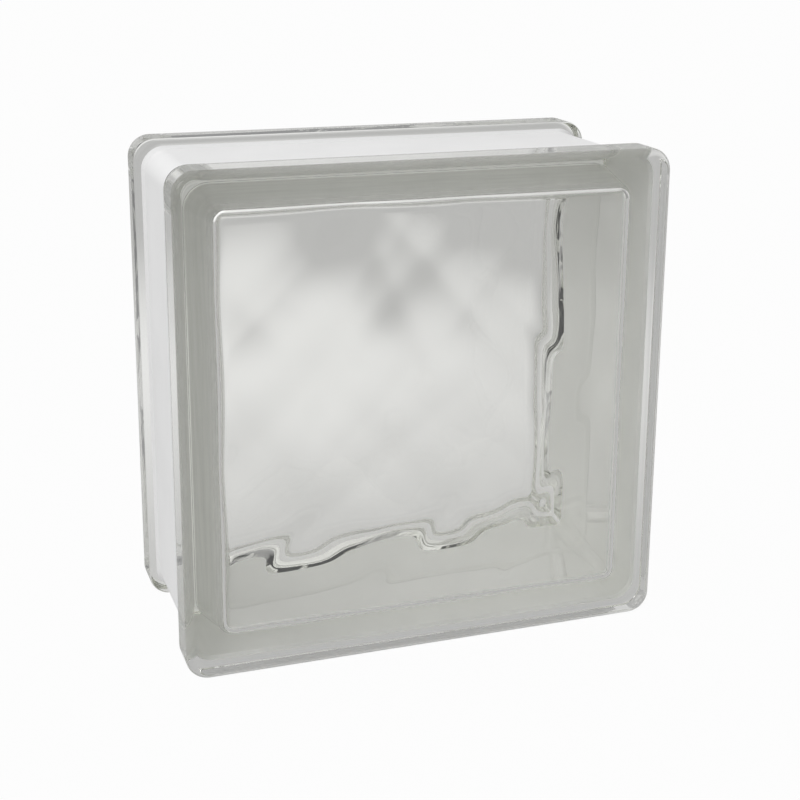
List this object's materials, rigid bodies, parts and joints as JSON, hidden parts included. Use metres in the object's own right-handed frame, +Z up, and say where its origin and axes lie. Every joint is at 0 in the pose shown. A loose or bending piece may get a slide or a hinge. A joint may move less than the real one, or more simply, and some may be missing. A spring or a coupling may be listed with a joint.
{
  "type": "glass block",
  "caption": "Hollow square glass block with smooth outer faces, wavy inner faces and a white-coated mortar channel round its edges, laid in walls that let light through.",
  "frame": {"origin": "middle of the bottom edge of the block, on the floor", "axes": "X is the width, Y the depth with the front face towards -Y, Z is up; the block stands on one edge"},
  "size_m": [0.197, 0.098, 0.197],
  "materials": {
    "clear_glass": "clear pressed glass, fire polished",
    "white_coat": "thin matte white coat"
  },
  "bodies": {
    "root": {"glass_block": "clear_glass", "edge_coating": "white_coat"}
  },
  "joints": []
}
